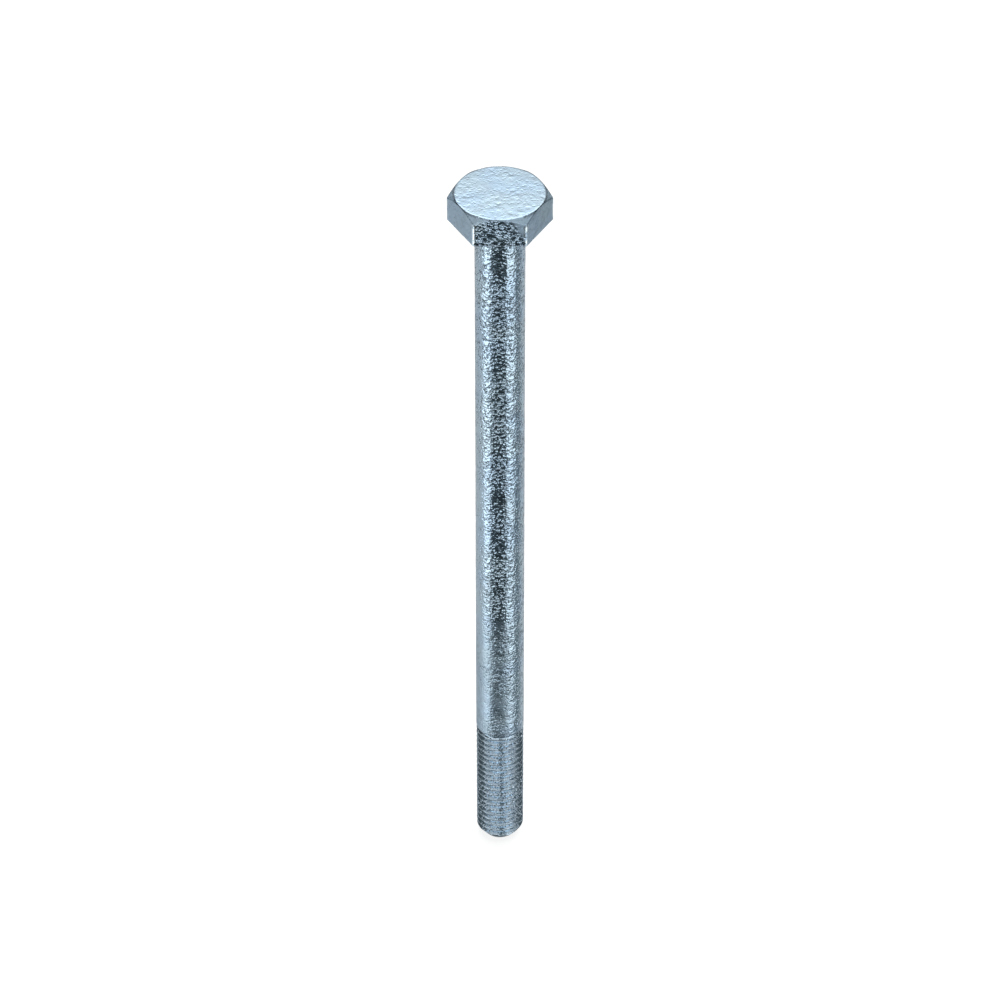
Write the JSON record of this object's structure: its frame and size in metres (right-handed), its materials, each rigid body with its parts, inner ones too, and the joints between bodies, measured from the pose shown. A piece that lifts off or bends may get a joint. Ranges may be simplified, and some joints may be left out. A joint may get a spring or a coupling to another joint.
{
  "type": "hex bolt",
  "caption": "Long slender hex bolt with a chamfered hexagonal head, a plain round shank and a short fine thread at a chamfered end, zinc-plated steel.",
  "frame": {"origin": "centre of the head's flat top face; the bearing face under the head is the plane z = -0.00397, and the flat end of the thread is the plane z = -0.10557", "axes": "+Z along the bolt's axis, out of the top of the head, so the shank runs down -Z; two opposite corners of the hexagon lie on X, and flats face -Y and +Y"},
  "size_m": [0.0128, 0.0112, 0.1056],
  "materials": {
    "zinc_plated_steel": "bright zinc plate, cool blue-silver, finely pitted and rippled"
  },
  "bodies": {
    "root": {"hex_bolt": "zinc_plated_steel"}
  },
  "joints": []
}
